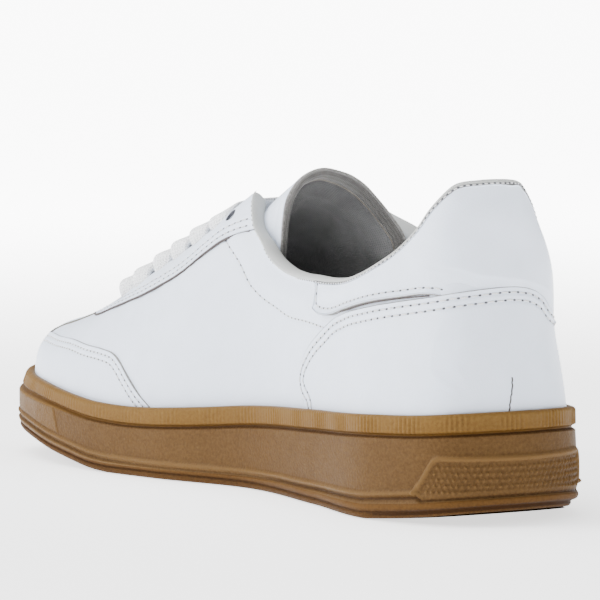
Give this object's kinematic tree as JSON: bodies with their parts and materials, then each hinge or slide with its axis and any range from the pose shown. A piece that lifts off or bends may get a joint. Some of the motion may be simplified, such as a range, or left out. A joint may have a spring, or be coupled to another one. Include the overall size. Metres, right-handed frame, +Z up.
{
  "type": "court shoe",
  "caption": "Low-cut white leather court shoe with a toe cap and toe bar, padded collar, laced throat, hinged tongue and a moulded gum rubber cupsole.",
  "frame": {"origin": "on the ground plane, under the middle of the sole's outline", "axes": "+Y towards the heel, -Y towards the toe, +X towards the inner (medial) side of this right shoe, +Z up"},
  "size_m": [0.0978, 0.2797, 0.1039],
  "materials": {
    "gum_rubber": "semi-matt moulded gum rubber with a ribbed lip and a grained sidewall",
    "eva_foam": "matt closed-cell foam",
    "board_textile": "stitched fibre board",
    "sockliner_textile": "flat grey textile over foam",
    "white_leather": "smooth semi-matt white leather with fine grain",
    "backer_tape": "woven reinforcing tape",
    "collar_binding": "soft light grey binding",
    "upper_foam": "soft open-cell foam",
    "stiffener_board": "thermoplastic stiffener sheet",
    "grey_lining": "dark grey woven textile",
    "tongue_binding": "mid grey knitted edge band",
    "lace_textile": "flat woven white cotton lace",
    "aglet_plastic": "clear film over the lace end"
  },
  "bodies": {
    "shoe": {"cupsole": "gum_rubber", "midsole_filler": "eva_foam", "strobel_board": "board_textile", "sockliner": "sockliner_textile", "side_panel_medial": "white_leather", "side_panel_lateral": "white_leather", "toe_cap": "white_leather", "toe_bar": "white_leather", "eyestay_medial": "white_leather", "eyestay_lateral": "white_leather", "eyelet_backer_medial": "backer_tape", "eyelet_backer_lateral": "backer_tape", "heel_counter_overlay": "white_leather", "collar_patch": "white_leather", "topline_binding": "collar_binding", "collar_foam": "upper_foam", "heel_stiffener": "stiffener_board", "toe_puff": "stiffener_board", "vamp_lining": "grey_lining", "lining_medial": "grey_lining", "lining_lateral": "grey_lining", "heel_lining": "grey_lining", "lace": "lace_textile", "lace_aglets": "aglet_plastic"},
    "tongue": {"tongue_leather": "white_leather", "tongue_foam": "upper_foam", "tongue_lining": "grey_lining", "tongue_edge_binding": "tongue_binding"}
  },
  "joints": [
    {"name": "tongue_hinge", "type": "hinge", "parent": "shoe", "child": "tongue", "pos_m": [0.0101, -0.084, 0.0425], "axis": [-1, 0, 0], "range_deg": [0, 10], "stiffness_Nm_per_rad": 0.3, "springref_deg": -5.73}
  ]
}
